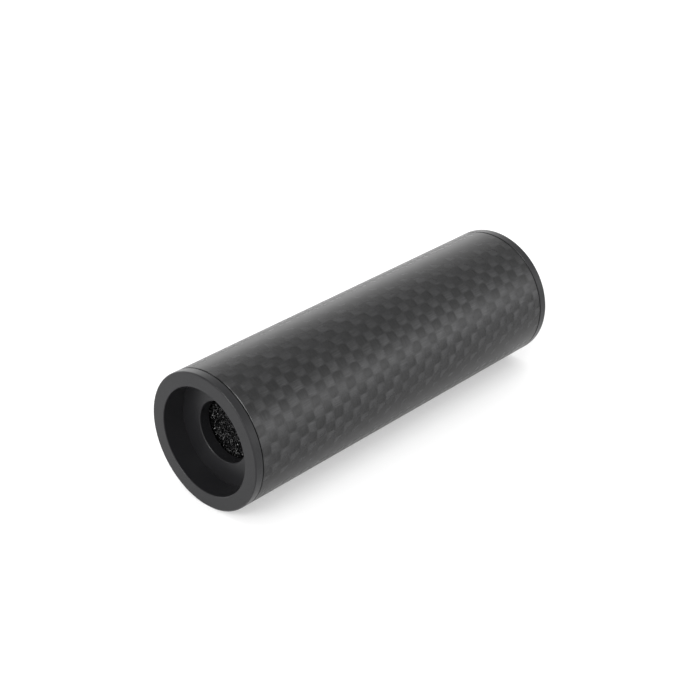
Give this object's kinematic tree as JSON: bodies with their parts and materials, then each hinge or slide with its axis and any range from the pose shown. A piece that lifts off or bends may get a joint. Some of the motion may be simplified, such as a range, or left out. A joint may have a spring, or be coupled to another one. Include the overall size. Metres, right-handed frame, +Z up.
{
  "type": "inert sound moderator",
  "caption": "Inert airsoft-style moderator: carbon-fibre tube with screw-on black metal end caps, a plain round opening in one and solid foam inside.",
  "frame": {"origin": "on the tube's axis, halfway along its length", "axes": "+Y along the tube's axis from the open end to the closed end, +Z up with the tube lying on its side, +X to the right seen from the open end"},
  "size_m": [0.03, 0.0926, 0.03],
  "materials": {
    "carbon": "plain-weave carbon fibre under a matte clear coat",
    "anodised": "satin black anodised",
    "ring_metal": "black anodised, machined thread",
    "seal_rubber": "matte black",
    "foam": "open-cell foam, dark grey"
  },
  "bodies": {
    "tube": {"carbon_tube": "carbon", "open_thread_ring": "ring_metal", "closed_thread_ring": "ring_metal", "foam_disc_1": "foam", "foam_disc_2": "foam", "foam_disc_3": "foam", "foam_disc_4": "foam"},
    "open_seal": {"open_seal": "seal_rubber"},
    "open_cap": {"open_cap": "anodised"},
    "closed_seal": {"closed_seal": "seal_rubber"},
    "closed_cap": {"closed_cap": "anodised"}
  },
  "joints": [
    {"name": "open_cap_travel", "type": "slide", "parent": "tube", "child": "open_seal", "axis": [0, -1, 0], "range_m": [0, 0.012]},
    {"name": "open_cap_turn", "type": "hinge", "parent": "open_seal", "child": "open_cap", "pos_m": [0, -0.0463, 0], "axis": [0, -1, 0], "range_deg": [0, 2880]},
    {"name": "closed_cap_travel", "type": "slide", "parent": "tube", "child": "closed_seal", "axis": [0, 1, 0], "range_m": [0, 0.012]},
    {"name": "closed_cap_turn", "type": "hinge", "parent": "closed_seal", "child": "closed_cap", "pos_m": [0, 0.0463, 0], "axis": [0, 1, 0], "range_deg": [0, 2880]}
  ],
  "couplings": [
    {"joint": "open_cap_travel", "follows": "open_cap_turn", "m_per_rad": 0.00023873},
    {"joint": "closed_cap_travel", "follows": "closed_cap_turn", "m_per_rad": 0.00023873}
  ]
}
